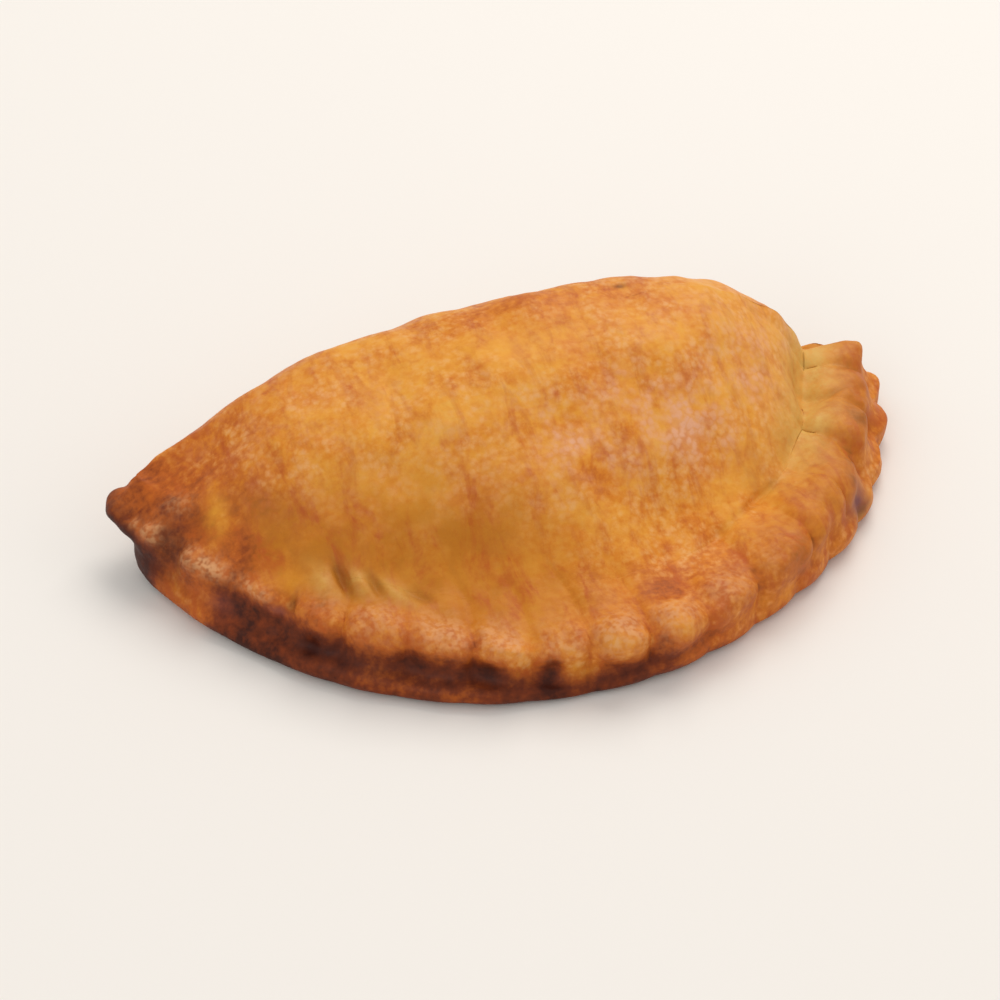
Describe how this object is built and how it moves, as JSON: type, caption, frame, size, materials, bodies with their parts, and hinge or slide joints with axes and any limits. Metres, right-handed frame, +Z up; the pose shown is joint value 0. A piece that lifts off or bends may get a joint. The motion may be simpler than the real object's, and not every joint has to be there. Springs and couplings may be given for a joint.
{
  "type": "turnover pastry",
  "caption": "Baked half-moon turnover with a domed filling pocket and a rope-crimped rim, a whole hand-held pastry that rests on its flat base",
  "frame": {"origin": "on the flat base, below the middle of the outline", "axes": "+X along the length towards the right tip, +Y towards the folded edge, +Z up"},
  "size_m": [0.1484, 0.081, 0.0378],
  "materials": {
    "crust": "golden baked pastry crust with a thin egg wash, satin on top and dull at the crimps"
  },
  "bodies": {
    "root": {"turnover": "crust"}
  },
  "joints": []
}
